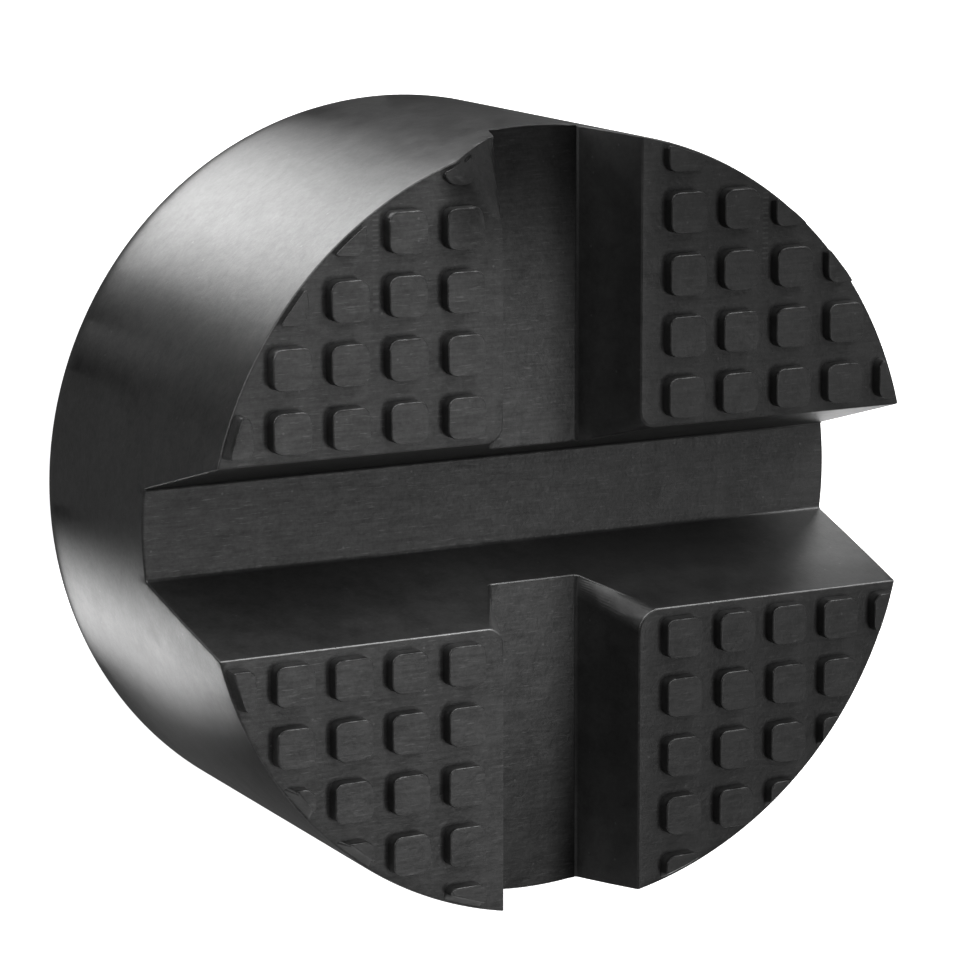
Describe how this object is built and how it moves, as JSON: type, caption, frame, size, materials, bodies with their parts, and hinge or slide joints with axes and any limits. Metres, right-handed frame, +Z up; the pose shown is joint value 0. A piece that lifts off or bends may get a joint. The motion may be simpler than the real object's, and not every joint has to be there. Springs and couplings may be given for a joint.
{
  "type": "rubber jack pad",
  "caption": "Round black rubber pad for a vehicle jack, with a deep tapered slot across its face for a sill seam, a shallower cross channel and a grid of low grip studs.",
  "frame": {"origin": "centre of the flat base, on the surface the pad lies on", "axes": "+Z up the disc's axis towards the studded face, X along the deep slot, Y along the shallow channel"},
  "size_m": [0.065, 0.065, 0.0361],
  "materials": {
    "rubber": "satin, moulded"
  },
  "bodies": {
    "root": {"jack_pad": "rubber"}
  },
  "joints": []
}
